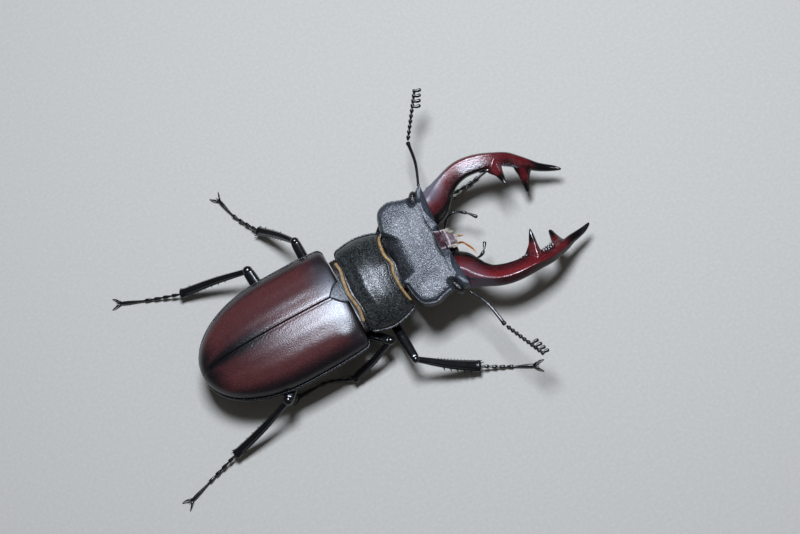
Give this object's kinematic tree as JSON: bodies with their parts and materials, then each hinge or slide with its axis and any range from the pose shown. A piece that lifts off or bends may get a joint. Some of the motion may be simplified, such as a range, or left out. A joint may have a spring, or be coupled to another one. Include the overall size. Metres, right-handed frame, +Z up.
{
  "type": "stag beetle",
  "caption": "Still, life-size model of a male stag beetle: antlered jaws, dark domed wing cases, elbowed feelers and spined legs, standing on the tips of its feet",
  "frame": {"origin": "the middle of the box round the whole beetle, on the ground under its feet", "axes": "+X runs forward along the body, +Y to the beetle's left, +Z up"},
  "size_m": [0.0906, 0.0638, 0.0119],
  "materials": {
    "wing_case": "dark chestnut, silky, with a fine grain",
    "shield": "black, finely granular, silky",
    "head_plate": "charcoal, finely granular, matte",
    "jaw": "polished dark red with black edges",
    "leg": "glossy black",
    "underside": "black, half matte",
    "eye": "glossy black",
    "mouth": "pinkish brown, hairy"
  },
  "bodies": {
    "root": {"head": "head_plate", "labrum": "mouth", "mentum": "mouth", "neck": "underside", "eye_left": "eye", "eye_right": "eye", "mandible_left": "jaw", "mandible_right": "jaw", "palp_left": "leg", "palp_right": "leg", "antenna_left_scape": "leg", "antenna_left_club": "leg", "antenna_right_scape": "leg", "antenna_right_club": "leg", "pronotum": "shield", "prosternum": "underside", "waist": "underside", "scutellum": "shield", "elytron_left": "wing_case", "elytron_right": "wing_case", "metathorax": "underside", "abdomen": "underside", "fore_left_femur": "leg", "fore_left_tibia": "leg", "fore_left_tarsus": "leg", "fore_right_femur": "leg", "fore_right_tibia": "leg", "fore_right_tarsus": "leg", "mid_left_femur": "leg", "mid_left_tibia": "leg", "mid_left_tarsus": "leg", "mid_right_femur": "leg", "mid_right_tibia": "leg", "mid_right_tarsus": "leg", "hind_left_femur": "leg", "hind_left_tibia": "leg", "hind_left_tarsus": "leg", "hind_right_femur": "leg", "hind_right_tibia": "leg", "hind_right_tarsus": "leg"}
  },
  "joints": []
}
